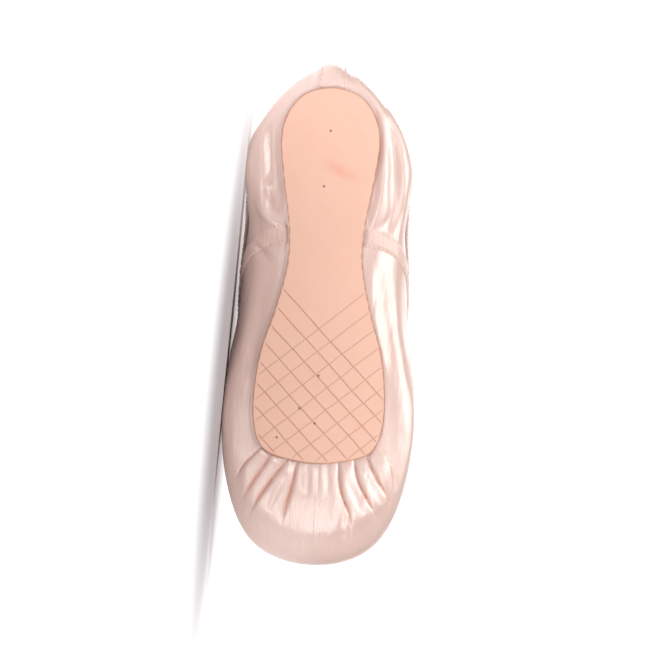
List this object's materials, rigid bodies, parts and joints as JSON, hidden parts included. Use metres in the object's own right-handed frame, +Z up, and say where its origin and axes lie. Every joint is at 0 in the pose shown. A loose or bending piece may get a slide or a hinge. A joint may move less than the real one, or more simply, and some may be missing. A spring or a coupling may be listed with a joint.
{
  "type": "pointe shoe",
  "caption": "Satin ballet shoe with a hardened toe box, thin leather outsole and drawstring casing round the collar, lying on its side.",
  "frame": {"origin": "centre of the bounding box in plan, on the floor that the shoe lies on", "axes": "+X from heel to toe, -Y out of the sole, +Z up from the side that it lies on"},
  "size_m": [0.241, 0.0582, 0.0921],
  "materials": {
    "satin": "pale pink satin, soft sheen",
    "satin_tape": "pale pink woven tape, stitched",
    "sole_leather": "peach buffed leather, matt",
    "sock_cloth": "undyed cotton cloth over board"
  },
  "bodies": {
    "root": {"upper": "satin", "collar_binding": "satin_tape", "heel_stay": "satin_tape", "side_seam_left": "satin_tape", "side_seam_right": "satin_tape", "outsole": "sole_leather", "insole": "sock_cloth"}
  },
  "joints": []
}
